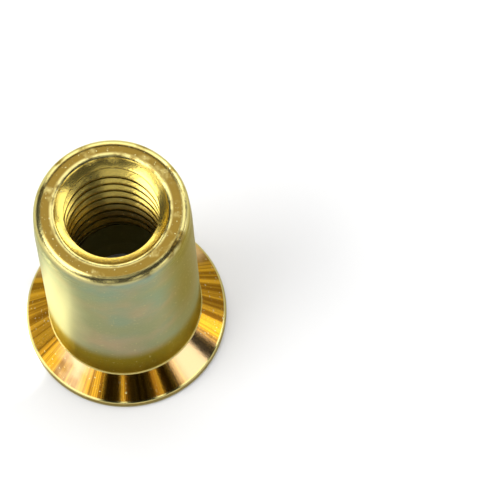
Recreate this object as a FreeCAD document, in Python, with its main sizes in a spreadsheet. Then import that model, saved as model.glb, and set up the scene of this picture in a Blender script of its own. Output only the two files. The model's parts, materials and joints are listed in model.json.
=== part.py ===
# Countersunk-head rivet nut for an M8 screw, in millimetres.
# The nut stands on its head: the head face is Z = 0, the axis is Z, and the threaded tail points up.
import FreeCAD, Part
import os

import Sketcher

PIECE_NAME = "rivet_nut"
PARTS_FOLDER = "parts"

# Driving dimensions: the cell's name, its value in millimetres or degrees, and what it measures.
DIMENSIONS = [
    ("overall_length", 20.5, "head face to tail face"),
    ("thread_major_radius", 4.0, "M8 thread, at the bottom of its grooves"),
    ("thread_bore_radius", 3.32, "M8 tapping hole, where the thread's crests lie"),
    ("thread_depth", 11.8, "tail face to the last turn of the thread"),
    ("thread_wall", 1.5, "metal outside the thread's grooves"),
    ("chamber_wall", 1.0, "thin wall that bulges when the nut is set"),
    ("shoulder_angle", 45.0, "cone from the chamber up to the thread, measured from the axis"),
    ("mouth_margin", 0.2, "how far the countersink of the mouth opens past the thread"),
    ("mouth_half_angle", 60.0, "that countersink, measured from the axis"),
    ("mouth_round", 0.4, "rounding between the countersink and the tail face"),
    ("head_overhang", 1.75, "how far the head stands out past the body"),
    ("head_half_angle", 45.0, "underside of the head, measured from the axis"),
    ("rim_height", 0.55, "upright edge of the head"),
    ("rim_round", 0.4, "rounding where that edge meets the underside of the head"),
    ("rim_break", 0.15, "rounding where that edge meets the head face"),
    ("neck_fillet", 0.3, "hollow corner between the head and the body"),
    ("taper_length", 2.5, "tail end that narrows to lead the nut into its hole"),
    ("taper_angle", 2.5, "slope of that end, measured from the axis"),
    ("tail_round", 0.8, "rounding of the outer corner of the tail"),
    ("bore_chamfer", 0.3, "broken edge of the bore in the head face"),
]

# Sizes that follow from the driving ones.
DERIVED_SIZES = [
    ("body_radius", "=thread_major_radius + thread_wall"),
    ("head_radius", "=body_radius + head_overhang"),
    ("neck_height", "=rim_height + head_overhang / tan(head_half_angle * 1deg)"),
    ("taper_start", "=overall_length - taper_length"),
    ("taper_end_radius", "=body_radius - taper_length * tan(taper_angle * 1deg)"),
    ("mouth_radius", "=thread_major_radius + mouth_margin"),
    ("mouth_foot", "=overall_length - (mouth_radius - thread_bore_radius) / tan(mouth_half_angle * 1deg)"),
    ("chamber_radius", "=body_radius - chamber_wall"),
    ("shoulder_top", "=overall_length - thread_depth"),
    ("shoulder_foot", "=shoulder_top - (chamber_radius - thread_bore_radius) / tan(shoulder_angle * 1deg)"),
]


def make_sheet(doc):
    """Put every size in a spreadsheet, one named cell each."""
    sheet = doc.addObject("Spreadsheet::Sheet", "Sizes")
    rows = [(name, str(value), meaning) for name, value, meaning in DIMENSIONS]
    rows += [(name, formula, "follows from the sizes above") for name, formula in DERIVED_SIZES]
    for row, (name, content, meaning) in enumerate(rows, start=1):
        sheet.set(f"A{row}", name)
        sheet.set(f"B{row}", content)
        sheet.set(f"C{row}", meaning)
        sheet.setAlias(f"B{row}", name)
        doc.recompute()
    return sheet


def new_sketch(body, name, plane_role):
    """Attach an empty sketch to one of the body's own origin planes."""
    sketch = body.newObject("Sketcher::SketchObject", name)
    plane = next(item for item in body.Origin.OriginFeatures if item.Role == plane_role)
    sketch.AttachmentSupport = (plane, [""])
    sketch.MapMode = "FlatFace"
    return sketch


def draw_section(sketch, sheet, corners):
    """Draw a closed half section whose first and last corners lie on the axis.

    Each corner is a pair of sheet names, its radius and its height; None stands for zero.
    """
    def value(name):
        return getattr(sheet, name) if name else 0.0

    points = [FreeCAD.Vector(value(radius), value(height), 0) for radius, height in corners]
    count = len(points)
    for index in range(count):
        sketch.addGeometry(Part.LineSegment(points[index], points[(index + 1) % count]), False)
    for index in range(count):
        sketch.addConstraint(Sketcher.Constraint("Coincident", index, 2, (index + 1) % count, 1))
    for index, (radius, height) in enumerate(corners):
        pin_coordinate(sketch, "DistanceX", index, radius, value(radius))
        pin_coordinate(sketch, "DistanceY", index, height, value(height))


def pin_coordinate(sketch, direction, line, name, size):
    """Hold the start of a line at one named size from the sketch's origin."""
    if name is None:
        axis = -2 if direction == "DistanceX" else -1
        sketch.addConstraint(Sketcher.Constraint("PointOnObject", line, 1, axis))
        return
    number = sketch.addConstraint(Sketcher.Constraint(direction, -1, 1, line, 1, size))
    sketch.setExpression(f"Constraints[{number}]", f"Sizes.{name}")


def turn_section(body, kind, name, sketch):
    """Turn a half section a full turn about the nut's axis, to add metal or to cut it away."""
    feature = body.newObject(kind, name)
    feature.Profile = sketch
    feature.ReferenceAxis = (sketch, ["V_Axis"])
    feature.Angle = 360.0
    sketch.Visibility = False
    body.Document.recompute()
    return feature


def circle_edges(shape, radius, height):
    """Name the circular edges of one radius, centred on the axis at one height."""
    tolerance = 1e-4
    names = []
    for number, edge in enumerate(shape.Edges, start=1):
        curve = edge.Curve
        if not isinstance(curve, Part.Circle):
            continue
        if abs(curve.Radius - radius) < tolerance and abs(curve.Center.z - height) < tolerance:
            names.append(f"Edge{number}")
    if not names:
        raise ValueError(f"no edge of radius {radius:.3f} at height {height:.3f}")
    return names


def dress_edge(body, kind, name, radius, height, size_name):
    """Round or chamfer one ring of the last feature, found by its radius and its height."""
    base = body.Tip
    edges = circle_edges(base.Shape, radius, height)
    feature = body.newObject(kind, name)
    feature.Base = (base, edges)
    size_property = "Size" if kind == "PartDesign::Chamfer" else "Radius"
    feature.setExpression(size_property, f"Sizes.{size_name}")
    body.Document.recompute()


def cut_tapping_hole(body, sheet):
    """Bore the tapping hole along the whole axis."""
    sketch = new_sketch(body, "TappingHoleSketch", "XY_Plane")
    radius = sheet.thread_bore_radius
    circle = sketch.addGeometry(Part.Circle(FreeCAD.Vector(0, 0, 0), FreeCAD.Vector(0, 0, 1), radius), False)
    sketch.addConstraint(Sketcher.Constraint("Coincident", circle, 3, -1, 1))
    number = sketch.addConstraint(Sketcher.Constraint("Radius", circle, radius))
    sketch.setExpression(f"Constraints[{number}]", "Sizes.thread_bore_radius")
    volume_before = body.Shape.Volume
    pocket = body.newObject("PartDesign::Pocket", "TappingHole")
    pocket.Profile = sketch
    pocket.Type = "ThroughAll"
    pocket.Reversed = True
    sketch.Visibility = False
    body.Document.recompute()
    check_cut(pocket, volume_before)


def check_cut(feature, volume_before):
    """Stop if a cutting feature pointed away from the metal and removed nothing."""
    if feature.Shape.Volume >= volume_before:
        raise RuntimeError(f"{feature.Name} removed no metal")


def build_nut(doc, sheet):
    """Turn the blank, bore it right through, open up the chamber and the mouth, and dress the edges."""
    body = doc.addObject("PartDesign::Body", "RivetNut")
    body.Label = PIECE_NAME

    # The blank: head face, upright rim, conical underside, straight body, tapered tail.
    blank = new_sketch(body, "BlankSection", "XZ_Plane")
    draw_section(blank, sheet, [
        (None, None),
        ("head_radius", None),
        ("head_radius", "rim_height"),
        ("body_radius", "neck_height"),
        ("body_radius", "taper_start"),
        ("taper_end_radius", "overall_length"),
        (None, "overall_length"),
    ])
    turn_section(body, "PartDesign::Revolution", "Blank", blank)

    # The inside: the tapping hole goes right through, and the chamber opens it up below the thread.
    cut_tapping_hole(body, sheet)
    chamber = new_sketch(body, "ChamberSection", "XZ_Plane")
    draw_section(chamber, sheet, [
        (None, None),
        ("chamber_radius", None),
        ("chamber_radius", "shoulder_foot"),
        ("thread_bore_radius", "shoulder_top"),
        (None, "shoulder_top"),
    ])
    volume_before = body.Shape.Volume
    check_cut(turn_section(body, "PartDesign::Groove", "Chamber", chamber), volume_before)

    # A wide countersink leads the screw in at the tail.
    mouth = new_sketch(body, "MouthSection", "XZ_Plane")
    draw_section(mouth, sheet, [
        (None, "mouth_foot"),
        ("thread_bore_radius", "mouth_foot"),
        ("mouth_radius", "overall_length"),
        (None, "overall_length"),
    ])
    volume_before = body.Shape.Volume
    check_cut(turn_section(body, "PartDesign::Groove", "MouthCountersink", mouth), volume_before)

    # The edges: broken bore edge, rounded mouth, tail and rim, hollow neck.
    tail = sheet.overall_length
    fillet = "PartDesign::Fillet"
    dress_edge(body, "PartDesign::Chamfer", "BoreChamfer", sheet.chamber_radius, 0.0, "bore_chamfer")
    dress_edge(body, fillet, "MouthRound", sheet.mouth_radius, tail, "mouth_round")
    dress_edge(body, fillet, "TailRound", sheet.taper_end_radius, tail, "tail_round")
    dress_edge(body, fillet, "RimRound", sheet.head_radius, sheet.rim_height, "rim_round")
    dress_edge(body, fillet, "RimBreak", sheet.head_radius, 0.0, "rim_break")
    dress_edge(body, fillet, "NeckFillet", sheet.body_radius, sheet.neck_height, "neck_fillet")
    return body


def check_document(doc, bodies):
    """Stop before anything is written if an object failed or a solid is not sound."""
    for item in doc.Objects:
        if "Invalid" in item.State or "Error" in item.State:
            raise RuntimeError(f"{item.Name} failed: {item.State}")
    for body in bodies:
        if body.Shape.isNull() or not body.Shape.isValid() or len(body.Shape.Solids) != 1:
            raise RuntimeError(f"{body.Label} is not one sound solid")


def main():
    doc = FreeCAD.newDocument("RivetNut")
    sheet = make_sheet(doc)
    bodies = [build_nut(doc, sheet)]
    doc.recompute()
    check_document(doc, bodies)
    os.makedirs(PARTS_FOLDER, exist_ok=True)
    for body in bodies:
        body.Shape.exportStep(os.path.join(PARTS_FOLDER, body.Label + ".step"))
        box = body.Shape.optimalBoundingBox(False)
        print(f"{body.Label}: {box.XLength:.2f} x {box.YLength:.2f} x {box.ZLength:.2f} mm,",
              f"{body.Shape.Volume:.1f} cubic mm, {len(body.Shape.Faces)} faces")


main()
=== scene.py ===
# %% [markdown]
# A rivet nut is a short steel sleeve with a screw thread in one end. It is pushed into a drilled hole from
# the front, and a tool pulls the threaded end towards the head, so that the thin wall in between bulges and
# grips the sheet. This one stands on its countersunk head, so we look down into the threaded mouth.
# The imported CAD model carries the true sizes. Here it gets what a picture needs: the screw thread itself, the
# yellow zinc finish, a white table, soft light and a camera.

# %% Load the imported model
import json
import math

import bmesh
import bpy
from mathutils import Matrix, Vector


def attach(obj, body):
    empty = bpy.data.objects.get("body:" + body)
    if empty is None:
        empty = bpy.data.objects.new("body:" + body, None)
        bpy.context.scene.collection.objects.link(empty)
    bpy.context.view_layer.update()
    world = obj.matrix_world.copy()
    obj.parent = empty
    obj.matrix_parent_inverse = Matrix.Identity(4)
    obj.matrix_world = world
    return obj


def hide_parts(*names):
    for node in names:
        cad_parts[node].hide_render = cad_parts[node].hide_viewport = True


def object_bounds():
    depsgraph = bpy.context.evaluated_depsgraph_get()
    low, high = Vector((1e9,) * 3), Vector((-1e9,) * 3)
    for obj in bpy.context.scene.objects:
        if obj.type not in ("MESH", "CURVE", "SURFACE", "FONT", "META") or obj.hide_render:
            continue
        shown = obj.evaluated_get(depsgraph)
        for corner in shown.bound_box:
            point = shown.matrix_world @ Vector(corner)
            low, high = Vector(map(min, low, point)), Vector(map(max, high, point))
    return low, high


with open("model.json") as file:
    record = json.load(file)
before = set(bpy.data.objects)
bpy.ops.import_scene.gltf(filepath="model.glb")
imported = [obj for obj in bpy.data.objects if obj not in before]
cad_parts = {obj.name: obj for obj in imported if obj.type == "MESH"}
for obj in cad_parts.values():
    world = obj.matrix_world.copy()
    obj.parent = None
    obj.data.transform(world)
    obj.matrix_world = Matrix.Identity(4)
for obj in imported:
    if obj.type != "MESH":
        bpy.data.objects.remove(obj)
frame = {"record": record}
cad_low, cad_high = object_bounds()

MM = 0.001
print("CAD box in millimetres:", [round((b - a) / MM, 2) for a, b in zip(cad_low, cad_high)])

# %% [markdown]
# ## The camera
# Product pictures of small parts are taken from far away through a long lens, which keeps circles close to
# true ellipses. The camera could be aimed at the nut with a constraint, but the nut stands in the left half
# of the picture, so it is simpler to say where the foot of the nut lies as the camera sees it: so far to the
# left of the line of sight, so far below it, and so far away. The tilt and the small roll then fix the rest.

# %% Camera: the foot's place and the lens in millimetres, the nearest and farthest view in metres
CAMERA_ELEVATION = math.radians(69.06)
CAMERA_ROLL = math.radians(-4.74)
FOOT_LEFT_BELOW_AWAY = (8.938, 4.546, 362.361)
LENS = 360.0
SENSOR_WIDTH = 36.0
NEAREST = 0.01
FARTHEST = 10.0

camera_data = bpy.data.cameras.new("portrait_camera")
camera_data.sensor_width = SENSOR_WIDTH
camera_data.lens = LENS
camera_data.clip_start = NEAREST
camera_data.clip_end = FARTHEST
camera = bpy.data.objects.new("portrait_camera", camera_data)
bpy.context.scene.collection.objects.link(camera)
tilt = Matrix.Rotation(math.pi / 2 - CAMERA_ELEVATION, 3, "X") @ Matrix.Rotation(CAMERA_ROLL, 3, "Z")
camera.matrix_world = Matrix.Translation(tilt @ Vector(FOOT_LEFT_BELOW_AWAY) * MM) @ tilt.to_4x4()
bpy.context.scene.camera = camera
print("camera at", [round(c, 4) for c in camera.matrix_world.translation], "metres")

# %% [markdown]
# ## The sleeve as a turned shape
# Everything but the thread is round, so the nut can be turned like clay on a wheel: draw half of its section
# as a line of corners, round the corners, and spin the line about the axis. Rounding the few corners of the
# line with a vertex bevel before the spin is much cheaper than bevelling whole rings of edges afterwards.
# The line starts at the lip inside the mouth, runs over the tail, down the body, round the head and up
# through the thin-walled chamber, and stops just below the last turn of the thread, which fills the gap.
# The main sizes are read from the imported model. The lip and the roots of the thread are not in it.

# %% Sizes in millimetres
mounts = {mount["name"]: mount["dims"] for mount in frame["record"]["mounts"]}
OVERALL_LENGTH = round(cad_high[2] / MM, 3)
HEAD_RADIUS = round(cad_high[0] / MM, 3)
BODY_RADIUS = mounts["shank"]["r_mm"]
CHAMBER_RADIUS = mounts["chamber"]["r_mm"]
CREST_RADIUS = mounts["thread"]["r_mm"]
ROOT_RADIUS = 4.0
RIM_HEIGHT = 0.55
NECK_HEIGHT = RIM_HEIGHT + HEAD_RADIUS - BODY_RADIUS
TAPER_START = OVERALL_LENGTH - 2.5
TAIL_RADIUS = BODY_RADIUS - 0.109
MOUTH_RADIUS = ROOT_RADIUS + 0.01
STEP_RADIUS = 3.88
STEP_HEIGHT = OVERALL_LENGTH - 0.22
LIP_TOP = OVERALL_LENGTH - 0.49
LIP_FOOT = OVERALL_LENGTH - 0.6
SHOULDER_TOP = OVERALL_LENGTH - 11.8
SHOULDER_FOOT = SHOULDER_TOP + CREST_RADIUS - CHAMBER_RADIUS
BORE_CHAMFER = 0.3
JOIN = 0.02
print("length", OVERALL_LENGTH, "head radius", HEAD_RADIUS, "body radius", BODY_RADIUS)

# %% Section of the sleeve: radius, height, corner rounding and the segments of that rounding
SEGMENTS = 192
AXIS = (0, 0, 1)
CENTRE = (0, 0, 0)

SLEEVE_CORNERS = [
    (CREST_RADIUS, LIP_FOOT, 0.0, 0),
    (CREST_RADIUS, LIP_TOP, 0.05, 3),
    (STEP_RADIUS, STEP_HEIGHT, 0.0, 0),
    (MOUTH_RADIUS, OVERALL_LENGTH, 0.42, 8),
    (TAIL_RADIUS, OVERALL_LENGTH, 0.8, 10),
    (BODY_RADIUS, TAPER_START, 10.0, 6),
    (BODY_RADIUS, NECK_HEIGHT, 0.3, 5),
    (HEAD_RADIUS, RIM_HEIGHT, 0.4, 6),
    (HEAD_RADIUS, 0.0, 0.15, 5),
    (CHAMBER_RADIUS + BORE_CHAMFER, 0.0, 0.05, 2),
    (CHAMBER_RADIUS, BORE_CHAMFER, 0.05, 2),
    (CHAMBER_RADIUS, SHOULDER_FOOT, 0.2, 4),
    (ROOT_RADIUS + JOIN, SHOULDER_TOP + CREST_RADIUS - ROOT_RADIUS - JOIN, 0.0, 0),
]


def draw_line(mesh, points):
    """Lay a line of edges through points given as radius and height."""
    corners = [mesh.verts.new((radius, 0, height)) for radius, height in points]
    for first, second in zip(corners, corners[1:]):
        mesh.edges.new((first, second))
    return corners


def round_corners(mesh, corners, turn, radius, segments):
    """Round corners of a line with arcs of one radius; the line turns by the same angle at each of them."""
    bmesh.ops.bevel(mesh, geom=corners, offset=radius * math.tan(turn / 2), offset_type="OFFSET",
                    segments=segments, profile=0.5, affect="VERTICES", material=-1)


def turn_at(corner):
    """The angle by which a line turns at a corner."""
    arms = [edge.other_vert(corner).co - corner.co for edge in corner.link_edges]
    return math.pi - arms[0].angle(arms[1])


sleeve = bmesh.new()
corners = draw_line(sleeve, [corner[:2] for corner in SLEEVE_CORNERS])
for corner, (_, _, radius, segments) in zip(corners, SLEEVE_CORNERS):
    if segments:
        round_corners(sleeve, [corner], turn_at(corner), radius, segments)
print("section of the sleeve:", len(sleeve.edges), "edges")

# %% Spin the section
bmesh.ops.spin(sleeve, geom=sleeve.verts[:] + sleeve.edges[:], cent=CENTRE, axis=AXIS, dvec=(0, 0, 0),
               angle=math.tau, steps=SEGMENTS, use_merge=True, use_duplicate=False)
print("sleeve:", len(sleeve.faces), "faces, open edges:", sum(edge.is_boundary for edge in sleeve.edges))

# %% [markdown]
# ## The screw thread
# A thread is a V-shaped groove that winds round the hole and climbs one pitch in each turn. The same spin can
# make it: the section is now a zigzag of several pitches, and every step of the spin also lifts it by a small
# share of the pitch. After one full turn each groove of the zigzag has climbed to where the next one started,
# so the two ends meet and are merged. Crests and roots then wind up evenly and catch the light cleanly.
# Turning anticlockwise while climbing gives a right-hand thread.

# %% Section of the thread
PITCH = 1.25
TURNS = 12
THREAD_START = 6.47
CREST_FLAT = PITCH / 4
ROOT_FLAT = PITCH / 8
FLANK = (PITCH - CREST_FLAT - ROOT_FLAT) / 2
FLANK_TURN = math.radians(60)
CREST_ROUNDING = 0.05
ROOT_ROUNDING = 0.10
ROUNDING_SEGMENTS = 3
ROW_HEIGHT = 0.09

thread = bmesh.new()
zigzag = []
for turn in range(TURNS):
    foot = THREAD_START + turn * PITCH
    zigzag += [(CREST_RADIUS, foot), (CREST_RADIUS, foot + CREST_FLAT),
               (ROOT_RADIUS, foot + CREST_FLAT + FLANK), (ROOT_RADIUS, foot + PITCH - FLANK)]
zigzag.append((CREST_RADIUS, THREAD_START + TURNS * PITCH))
corners = draw_line(thread, zigzag)[1:-1]
middle = (CREST_RADIUS + ROOT_RADIUS) / 2
crests = [corner for corner in corners if corner.co.x < middle]
roots = [corner for corner in corners if corner.co.x > middle]
round_corners(thread, crests, FLANK_TURN, CREST_ROUNDING, ROUNDING_SEGMENTS)
round_corners(thread, roots, FLANK_TURN, ROOT_ROUNDING, ROUNDING_SEGMENTS)
for edge in thread.edges[:]:
    cuts = int(edge.calc_length() / ROW_HEIGHT)
    if cuts:
        bmesh.ops.subdivide_edges(thread, edges=[edge], cuts=cuts)
print("section of the thread:", len(thread.edges), "edges")

# %% Wind the section into a thread
MERGE = 0.005

bmesh.ops.spin(thread, geom=thread.verts[:] + thread.edges[:], cent=CENTRE, axis=AXIS,
               dvec=(0, 0, PITCH / SEGMENTS), angle=math.tau, steps=SEGMENTS,
               use_merge=False, use_duplicate=False)
bmesh.ops.remove_doubles(thread, verts=thread.verts[:], dist=MERGE)
print("thread:", len(thread.faces), "faces, open edges:", sum(edge.is_boundary for edge in thread.edges))

# %% [markdown]
# The thread ends at both ends in something wider: in an open groove behind the lip of the mouth, and in the
# cone where the hole opens into the chamber. So each point is pushed out until it lies on the widest of the
# three. At both ends the wall is then plain and round, and a plane can cut it to a clean edge there.

# %% Run the thread out at both ends
GROOVE_MIDDLE = OVERALL_LENGTH - 1.15
GROOVE_HALF_WIDTH = 0.4
FLANK_SLOPE = math.tan(FLANK_TURN)

for vert in thread.verts:
    height = vert.co.z
    radius = math.hypot(vert.co.x, vert.co.y)
    beyond_groove = max(0.0, abs(height - GROOVE_MIDDLE) - GROOVE_HALF_WIDTH)
    groove = ROOT_RADIUS - beyond_groove * FLANK_SLOPE
    shoulder = CREST_RADIUS + (SHOULDER_TOP - height)
    wall = max(radius, groove, shoulder)
    vert.co.x *= wall / radius
    vert.co.y *= wall / radius

top = LIP_FOOT
bottom = SHOULDER_TOP + CREST_RADIUS - ROOT_RADIUS
for height, below, above in ((top, False, True), (bottom, True, False)):
    bmesh.ops.bisect_plane(thread, geom=thread.verts[:] + thread.edges[:] + thread.faces[:], dist=MERGE,
                           plane_co=(0, 0, height), plane_no=AXIS, clear_inner=below, clear_outer=above)
bmesh.ops.remove_doubles(thread, verts=thread.verts[:], dist=MERGE)
print("trimmed thread:", len(thread.faces), "faces from", round(bottom, 2), "to", round(top, 2), "mm")

# %% [markdown]
# Thread and sleeve now end in pairs of rings at the same two heights, a hair apart. A boolean could join
# them, but it is slow and can leave slivers. A bridge of faces from ring to ring closes each gap cleanly.

# %% Join the thread to the sleeve
thread_mesh = bpy.data.meshes.new("thread_wall")
thread.to_mesh(thread_mesh)
thread.free()
sleeve.from_mesh(thread_mesh)
bpy.data.meshes.remove(thread_mesh)
for height in (top, bottom):
    rims = [edge for edge in sleeve.edges if edge.is_boundary
            and all(abs(vert.co.z - height) < 2 * JOIN for vert in edge.verts)]
    bmesh.ops.bridge_loops(sleeve, edges=rims)
bmesh.ops.recalc_face_normals(sleeve, faces=sleeve.faces[:])
print("nut:", len(sleeve.faces), "faces, open edges:", sum(edge.is_boundary for edge in sleeve.edges),
      "volume", round(sleeve.calc_volume(signed=True), 1), "cubic mm")

# %% [markdown]
# The numbers so far are in millimetres, and the scene is in metres. Scaling the object would leave the mesh
# and every pattern on it a thousand times too large, so the mesh itself is scaled. The finished nut rides on
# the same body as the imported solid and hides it. The solid, with its plain hole, is what gets simulated.

# %% Hand the mesh over to the scene
bmesh.ops.scale(sleeve, vec=(MM, MM, MM), verts=sleeve.verts[:])
nut_mesh = bpy.data.meshes.new("plated_nut")
sleeve.to_mesh(nut_mesh)
sleeve.free()
nut_mesh.shade_smooth()
nut = bpy.data.objects.new("plated_nut", nut_mesh)
bpy.context.scene.collection.objects.link(nut)
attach(nut, "root")
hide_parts("rivet_nut")
print("handed over:", len(nut_mesh.vertices), "vertices")

# %% [markdown]
# ## The yellow zinc plating
# The nut is steel with a thin coat of zinc, and the zinc is passivated to a thin yellow film. Film and light
# interfere, so the colour wanders between straw, olive, pink and blue-green from place to place. Here it is
# greyish on the straight body, golden orange on the cone of the head and brown on the flat tail face.
# A picture wrapped round the nut could carry these colours, but noise and plain sums need no picture and
# stay sharp at any size. They are kept in node groups, and short helpers make the nodes easy to read.

# %% Helpers for nodes
def feed(tree, socket, value):
    """Link an input to another node's output, or set it to a plain value."""
    if isinstance(value, bpy.types.NodeSocket):
        tree.links.new(value, socket)
    else:
        socket.default_value = value


def add_node(tree, kind, inputs=None, **settings):
    """Add a node, set its options, and feed its inputs, which are picked by name or by number."""
    node = tree.nodes.new(kind)
    for name, value in settings.items():
        setattr(node, name, value)
    for name, value in (inputs or {}).items():
        feed(tree, node.inputs[name], value)
    return node


def new_group(name, outputs):
    """Make a node group that takes a position, and give back its tree, that position and its output node."""
    tree = bpy.data.node_groups.new(name, "ShaderNodeTree")
    tree.interface.new_socket("Position", in_out="INPUT", socket_type="NodeSocketVector")
    for socket_name, kind in outputs:
        tree.interface.new_socket(socket_name, in_out="OUTPUT", socket_type=kind)
    position = tree.nodes.new("NodeGroupInput").outputs["Position"]
    return tree, position, tree.nodes.new("NodeGroupOutput")


def use_group(tree, group, position):
    """Put a finished group into another tree and hand it the position."""
    return add_node(tree, "ShaderNodeGroup", {"Position": position}, node_tree=group)


# %% Helpers for sums and colours
def add(tree, first, second):
    """The sum of two values."""
    return add_node(tree, "ShaderNodeMath", {0: first, 1: second}, operation="ADD").outputs[0]


def multiply(tree, first, second):
    """The product of two values."""
    return add_node(tree, "ShaderNodeMath", {0: first, 1: second}, operation="MULTIPLY").outputs[0]


def multiply_add(tree, first, second, third):
    """The product of the first two values, plus the third."""
    inputs = {0: first, 1: second, 2: third}
    return add_node(tree, "ShaderNodeMath", inputs, operation="MULTIPLY_ADD").outputs[0]


def spread(tree, share, at_zero, at_one):
    """Turn a share between 0 and 1 into a value between two others."""
    inputs = {"Value": share, "From Min": 0.0, "From Max": 1.0, "To Min": at_zero, "To Max": at_one}
    return add_node(tree, "ShaderNodeMapRange", inputs).outputs[0]


def ramp(tree, value, low, high):
    """A smooth step from 0 to 1 while the value goes from low to high."""
    inputs = {"Value": value, "From Min": low, "From Max": high, "To Min": 0.0, "To Max": 1.0}
    return add_node(tree, "ShaderNodeMapRange", inputs, interpolation_type="SMOOTHSTEP").outputs[0]


def between(tree, value, low, high, soft):
    """One while the value lies between two limits, and zero outside, with soft ends."""
    rising = ramp(tree, value, low - soft, low + soft)
    falling = ramp(tree, value, high + soft, high - soft)
    return multiply(tree, rising, falling)


def noise(tree, vector, scale, detail, roughness=0.5):
    """Soft random blotches around one half; the scale says how many there are to one unit of the vector."""
    inputs = {"Vector": vector, "Scale": scale, "Detail": detail, "Roughness": roughness}
    return add_node(tree, "ShaderNodeTexNoise", inputs).outputs[0]


def mix_colours(tree, share, first, second):
    """Lay a share of the second colour over the first; sockets 6 and 7 of a mix node are its colours."""
    inputs = {0: share, 6: first, 7: second}
    return add_node(tree, "ShaderNodeMix", inputs, data_type="RGBA").outputs[2]


# %% [markdown]
# ### Where on the nut a point is
# The nut's regions differ in their distance from the axis, their height and their direction round the axis.
# One small group works these three out of the position, so that no other group has to. It gives the first
# two in millimetres, as all sizes of the nut are given here.

# %% Group: place on the nut
FLOAT = "NodeSocketFloat"
VECTOR = "NodeSocketVector"
COLOUR = "NodeSocketColor"

place, position, result = new_group(
    "place_on_nut", [("Radius", FLOAT), ("Height", FLOAT), ("Direction", VECTOR)])
x, y, z = add_node(place, "ShaderNodeSeparateXYZ", {0: position}).outputs
flat = add_node(place, "ShaderNodeCombineXYZ", {"X": x, "Y": y}).outputs[0]
length = add_node(place, "ShaderNodeVectorMath", {0: flat}, operation="LENGTH").outputs["Value"]
outward = add_node(place, "ShaderNodeVectorMath", {0: flat}, operation="NORMALIZE").outputs[0]
feed(place, result.inputs["Radius"], multiply(place, length, 1 / MM))
feed(place, result.inputs["Height"], multiply(place, z, 1 / MM))
feed(place, result.inputs["Direction"], outward)
print("place group:", len(place.nodes), "nodes")

# %% [markdown]
# ### Colour
# One group lays the colours of the regions over each other, each with soft edges. They are darker than they
# look in the picture, because a metal's base colour is only the share of the light that it gives back, and
# much of what the nut mirrors here is bright.

# %% Palette
BODY = (0.23, 0.26, 0.18, 1)
PALE = (0.38, 0.39, 0.27, 1)
OLIVE = (0.13, 0.085, 0.005, 1)
NEAR_HEAD = (0.18, 0.13, 0.015, 1)
PINK = (0.36, 0.28, 0.22, 1)
BLUE_GREEN = (0.18, 0.27, 0.23, 1)
GOLD = (0.55, 0.29, 0.02, 1)
BROWN = (0.19, 0.08, 0.005, 1)
# Partly the film's own colour, partly painted highlight
ROSE_FILM_AND_HIGHLIGHT = (0.60, 0.41, 0.21, 1)
RIM = (0.20, 0.15, 0.07, 1)
# Painted highlight on the edges of the cone and the tail; also the pale grit on the tail face
EDGE_HIGHLIGHT_AND_GRIT = (0.54, 0.47, 0.18, 1)
FACE = (0.18, 0.115, 0.020, 1)
# Painted glints
GLINT = (0.46, 0.43, 0.25, 1)
INSIDE = (0.78, 0.60, 0.14, 1)
# Painted shade deep in the bore
BORE_SHADE = (0.08, 0.06, 0.02, 1)

# %% Patterns: blotches to a metre, or to one radius for the streaks, then detail and roughness
CLOUDS = (230.0, 3.0)
FILM = (330.0, 2.0)
GRIT = (900.0, 3.0)
GLINTS = (6000.0, 1.0)
STREAKS = (11.0, 5.0, 0.7)

paint, position, result = new_group("plating_colour", [("Colour", COLOUR)])
where = use_group(paint, place, position)
radius, height, direction = where.outputs
rightward, away, _ = add_node(paint, "ShaderNodeSeparateXYZ", {0: direction}).outputs

clouds = noise(paint, position, *CLOUDS)
film = noise(paint, position, *FILM)
grit = noise(paint, position, *GRIT)
# Noise for the painted glints
glints = noise(paint, position, *GLINTS)
streaks = noise(paint, direction, *STREAKS)

# %% [markdown]
# The body carries pink and blue-green clouds a few millimetres wide. It is a little paler on its left side,
# and olive on its right side and just above the head. On the real nut these three are mostly reflections of
# what stands round it, so here they are painted stand-ins, which do not move when the camera does.

# %% Colour of the body: each pair of limits says where a colour starts and where it is in full
BLOTCHES = (0.40, 0.75)
PALE_WAVER = 0.3
PALE_LEFTWARD = (-0.26, -0.54)
PALE_FORWARD = (0.9, -0.6)
PALE_HEIGHT = (19.0, 13.0)
OLIVE_RIGHTWARD = (0.45, 0.90)
OLIVE_HEIGHT = (4.0, 13.0)
NEAR_HEAD_HEIGHT = (7.0, 5.0)

body = mix_colours(paint, ramp(paint, clouds, *BLOTCHES), BODY, PINK)
body = mix_colours(paint, ramp(paint, film, *BLOTCHES), body, BLUE_GREEN)

wavering = multiply_add(paint, film, PALE_WAVER, rightward)
pale_side = multiply(paint, ramp(paint, wavering, *PALE_LEFTWARD), ramp(paint, height, *PALE_HEIGHT))
pale_side = multiply(paint, pale_side, ramp(paint, away, *PALE_FORWARD))
body = mix_colours(paint, pale_side, body, PALE)

olive_side = multiply(paint, ramp(paint, rightward, *OLIVE_RIGHTWARD), ramp(paint, height, *OLIVE_HEIGHT))
body = mix_colours(paint, olive_side, body, OLIVE)
body = mix_colours(paint, ramp(paint, height, *NEAR_HEAD_HEIGHT), body, NEAR_HEAD)

# %% [markdown]
# The cone of the head has streaks that run outwards, because their noise depends only on the direction round
# the axis. Rosy patches lie to the left and the right of its middle, in front and at the back; they are partly
# the film's own colour and partly painted highlight. Thin pale lines along the two edges of the cone are
# painted highlights, and the upright rim below is plain.

# %% Colour of the head: a third number is how soft the two sides of a stripe are
CONE_TOP = (2.45, 2.30)
STREAK_LIMITS = (0.36, 0.58)
ROSY_CLOUDS = (0.34, 0.54)
ROSY_SIDEWAYS = (0.28, 0.74, 0.12)
UPPER_HIGHLIGHT_LINE = (2.25, 2.50, 0.06)
LOWER_HIGHLIGHT_LINE = (0.55, 0.72, 0.05)
RIM_TOP = (0.60, 0.45)

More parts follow.
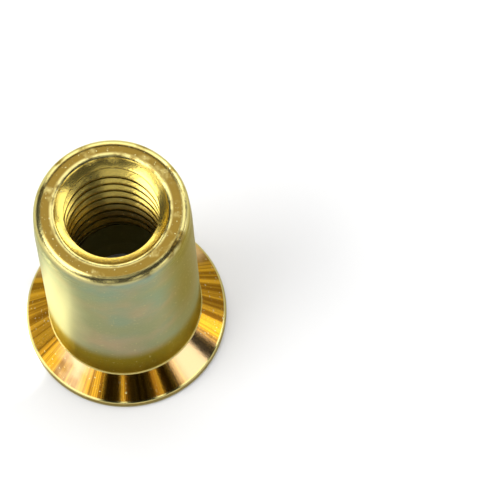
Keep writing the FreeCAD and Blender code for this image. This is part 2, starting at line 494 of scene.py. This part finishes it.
sideways = multiply(paint, rightward, rightward)
# Rosy patches on the sides of the cone: partly the film's colour, partly painted highlight
rosy_film_and_highlight = multiply(paint, between(paint, sideways, *ROSY_SIDEWAYS), ramp(paint, clouds, *ROSY_CLOUDS))
cone = mix_colours(paint, ramp(paint, streaks, *STREAK_LIMITS), GOLD, BROWN)
cone = mix_colours(paint, rosy_film_and_highlight, cone, ROSE_FILM_AND_HIGHLIGHT)

colour = mix_colours(paint, ramp(paint, height, *CONE_TOP), body, cone)
# Painted highlight: a pale line along the upper edge of the cone
colour = mix_colours(paint, between(paint, height, *UPPER_HIGHLIGHT_LINE), colour, EDGE_HIGHLIGHT_AND_GRIT)
colour = mix_colours(paint, ramp(paint, height, *RIM_TOP), colour, RIM)
# Painted highlight: a pale line along the lower edge of the cone, above the rim
colour = mix_colours(paint, between(paint, height, *LOWER_HIGHLIGHT_LINE), colour, EDGE_HIGHLIGHT_AND_GRIT)

# %% [markdown]
# The tail ends in a brown ring between two pale rounded edges, all a little gritty. The pale of the rounded
# edges is painted highlight. The inside is yellow at the mouth, and painted shade darkens it with depth. Last
# of all come tiny pale dots everywhere, which are painted glints.

# %% Colour of the tail and the inside
TAIL_HEIGHT = (19.75, 20.2)
EDGE_GRIT = (0.48, 0.72)
FACE_GRIT = (0.54, 0.90)
RING = (4.25, 4.92, 0.10)
INSIDE_RADIUS = (4.95, 4.85)
INSIDE_HEIGHT = (20.45, 20.30)
BORE_SHADE_HEIGHT = (17.0, 11.0)
GLINT_LIMITS = (0.66, 0.80)

at_tail = ramp(paint, height, *TAIL_HEIGHT)
# Painted highlight on the rounded edges of the tail, broken up by grit
gritty_edge_highlight = mix_colours(paint, ramp(paint, grit, *EDGE_GRIT), EDGE_HIGHLIGHT_AND_GRIT, FACE)
colour = mix_colours(paint, at_tail, colour, gritty_edge_highlight)
ring = multiply(paint, between(paint, radius, *RING), at_tail)
gritty_face = mix_colours(paint, ramp(paint, grit, *FACE_GRIT), FACE, EDGE_HIGHLIGHT_AND_GRIT)
colour = mix_colours(paint, ring, colour, gritty_face)

inside = multiply(paint, ramp(paint, radius, *INSIDE_RADIUS), ramp(paint, height, *INSIDE_HEIGHT))
# Painted shade: the inside darkens with depth
shaded_hollow = mix_colours(paint, ramp(paint, height, *BORE_SHADE_HEIGHT), INSIDE, BORE_SHADE)
colour = mix_colours(paint, inside, colour, shaded_hollow)
# Painted glints: tiny pale dots everywhere
colour = mix_colours(paint, ramp(paint, glints, *GLINT_LIMITS), colour, GLINT)
feed(paint, result.inputs["Colour"], colour)
print("colour group:", len(paint.nodes), "nodes")

# %% [markdown]
# ### Grain and gloss
# The surface is no mirror. A grain of tiny bumps breaks the reflections up, less so on the cone. It could be
# real relief, but it is finer than the mesh, so it is only a bump in the material. The cone is glossiest,
# the tail and the inside come next, and the body has a satin finish.

# %% Group: fine grain
FINE_GRAIN = (5200.0, 2.0)
COARSE_GRAIN = (1500.0, 2.0)
GRAIN_ON_CONE = 0.25
GRAIN_ELSEWHERE = 1.0

grain, position, result = new_group("fine_grain", [("Height", FLOAT)])
both = add(grain, noise(grain, position, *FINE_GRAIN), noise(grain, position, *COARSE_GRAIN))
on_cone = ramp(grain, use_group(grain, place, position).outputs["Height"], *CONE_TOP)
strength = spread(grain, on_cone, GRAIN_ELSEWHERE, GRAIN_ON_CONE)
feed(grain, result.inputs["Height"], multiply(grain, both, strength))
print("grain group:", len(grain.nodes), "nodes")

# %% Group: roughness
CONE_ROUGHNESS = 0.14
TAIL_ROUGHNESS = 0.25
EXTRA_ON_BODY = 0.09
BODY_HEIGHT = (2.40, 19.0, 0.4)
OUTSIDE_RADIUS = (4.95, 5.15)

gloss, position, result = new_group("plating_roughness", [("Roughness", FLOAT)])
where = use_group(gloss, place, position)
on_body = between(gloss, where.outputs["Height"], *BODY_HEIGHT)
on_body = multiply(gloss, on_body, ramp(gloss, where.outputs["Radius"], *OUTSIDE_RADIUS))
on_cone = ramp(gloss, where.outputs["Height"], *CONE_TOP)
roughness = spread(gloss, on_cone, TAIL_ROUGHNESS, CONE_ROUGHNESS)
feed(gloss, result.inputs["Roughness"], multiply_add(gloss, on_body, EXTRA_ON_BODY, roughness))
print("roughness group:", len(gloss.nodes), "nodes")

# %% [markdown]
# ### The material
# The groups meet in one metal material. A metal turns white where it is seen edge-on. That looked too white
# here, so the tint for such grazing angles is yellow.

# %% Material: yellow zinc
GRAIN_STRENGTH = 0.8
GRAIN_DEPTH = 0.01 * MM
GRAZING_TINT = (1.0, 0.93, 0.5, 1)

zinc = bpy.data.materials.new("yellow_zinc")
zinc.use_nodes = True
tree = zinc.node_tree
shader = tree.nodes["Principled BSDF"]
shader.inputs["Metallic"].default_value = 1.0
shader.inputs["Specular Tint"].default_value = GRAZING_TINT

point = add_node(tree, "ShaderNodeTexCoord").outputs["Object"]
feed(tree, shader.inputs["Base Color"], use_group(tree, paint, point).outputs["Colour"])
feed(tree, shader.inputs["Roughness"], use_group(tree, gloss, point).outputs["Roughness"])
relief = {"Strength": GRAIN_STRENGTH, "Distance": GRAIN_DEPTH,
          "Height": use_group(tree, grain, point).outputs["Height"]}
feed(tree, shader.inputs["Normal"], add_node(tree, "ShaderNodeBump", relief).outputs[0])
nut_mesh.materials.append(zinc)
print("material:", len(tree.nodes), "nodes")

# %% [markdown]
# ## The table
# The nut stands on a plain white table, big enough to show no edge. It is more than a background: the
# upright body mirrors mostly the table close to it. A bare plane with a dull material does for it.

# %% Table
TABLE_SIZE = 4.0
TABLE_WHITE = (0.75, 0.75, 0.75, 1)

bpy.ops.mesh.primitive_plane_add(size=TABLE_SIZE)
table = bpy.context.object
table.name = "table"
paper = bpy.data.materials.new("white_paper")
paper.use_nodes = True
paper_shader = paper.node_tree.nodes["Principled BSDF"]
paper_shader.inputs["Base Color"].default_value = TABLE_WHITE
paper_shader.inputs["Roughness"].default_value = 1.0
table.data.materials.append(paper)
print("table:", TABLE_SIZE, "metres wide")

# %% [markdown]
# ## The light
# Glossy metal looks like what stands round it, so the light is built from what the nut should mirror. The
# camera's side is dark but for two narrow slits and a faint strip high up, and so the front of the cone is
# dark with golden stripes. There are windows on the left and the right, a wall behind and a ceiling.
# Area lamps can be placed by hand one by one. Here a list is easier: each soft box has a compass direction,
# counted from the camera's side towards the right, and a height over the horizon. Its width and tallness
# are angles too, seen from the nut, and a larger box is given more power, so it looks just as bright.

# %% Soft boxes: name, direction, height, width and tallness in degrees, and brightness
SOFT_BOXES = [
    ("left_window", -58, 9, 60, 20, 1.9),
    ("left_high", -74, 46, 40, 36, 3.2),
    ("front_slit", -8.5, 20, 4, 26, 1.9),
    ("front_high", -20, 57, 50, 14, 0.6),
    ("right_slit", 21, 17, 6, 20, 2.0),
    ("right_window", 53, 10, 28, 14, 1.8),
    ("right_low", 90, 3, 22, 5, 3.0),
    ("right_high", 104, 30, 44, 26, 1.7),
    ("right_back", 134, 6, 28, 14, 4.0),
    ("back_wall", 182, 16, 76, 36, 2.0),
    ("ceiling", 180, 80, 76, 60, 1.7),
]
BOX_DISTANCE = 0.6
WATTS_PER_SQUARE_METRE = 4


def side_length(angle):
    """How long a side must be to fill an angle in degrees, seen from the nut."""
    return 2 * BOX_DISTANCE * math.tan(math.radians(angle) / 2)


def hang(lamp, spot, target):
    """Hang a lamp at one point and turn it so that it shines at another."""
    lamp.location = spot
    lamp.rotation_euler = (target - lamp.location).to_track_quat("-Z", "Y").to_euler()
    bpy.context.scene.collection.objects.link(lamp)


for name, compass, elevation, width, tallness, brightness in SOFT_BOXES:
    turn = math.radians(compass)
    rise = math.radians(elevation)
    data = bpy.data.lights.new(name, "AREA")
    data.shape = "RECTANGLE"
    data.size = side_length(width)
    data.size_y = side_length(tallness)
    data.energy = WATTS_PER_SQUARE_METRE * brightness * data.size * data.size_y
    box = bpy.data.objects.new(name, data)
    box.visible_camera = False
    towards = Vector((math.cos(rise) * math.sin(turn), -math.cos(rise) * math.cos(turn), math.sin(rise)))
    hang(box, towards * BOX_DISTANCE, Vector(CENTRE))
print("soft boxes:", len(SOFT_BOXES))

# %% [markdown]
# A small spotlight makes a pool of light on the table close to the left of the head. The table is white
# there anyway, so the pool itself is hardly seen, but the left side of the body mirrors it as a bright band.

# %% Spotlight beside the head
POOL = Vector((-10.5, -1.5, 0.0)) * MM
POOL_LAMP = Vector((-30.0, -5.0, 55.0)) * MM
POOL_WATTS = 0.36
POOL_ANGLE = math.radians(9)
POOL_SOFTNESS = 0.4

pool_data = bpy.data.lights.new("left_pool", "SPOT")
pool_data.energy = POOL_WATTS
pool_data.spot_size = POOL_ANGLE
pool_data.spot_blend = POOL_SOFTNESS
pool_data.shadow_soft_size = 1 * MM
hang(bpy.data.objects.new("left_pool", pool_data), POOL_LAMP, POOL)
print("spotlight:", POOL_WATTS, "watts")

# %% [markdown]
# Between the boxes the world is nearly black, so that the dark parts of the metal stay dark. Blender's usual
# view would soften bright colours, and the Standard view shows them as they are worked out.

# %% Dim surroundings and plain colours
SKY_GREY = (0.02, 0.02, 0.02, 1)

world = bpy.data.worlds.new("studio")
bpy.context.scene.world = world
world.use_nodes = True
world.node_tree.nodes["Background"].inputs["Color"].default_value = SKY_GREY
bpy.context.scene.view_settings.view_transform = "Standard"
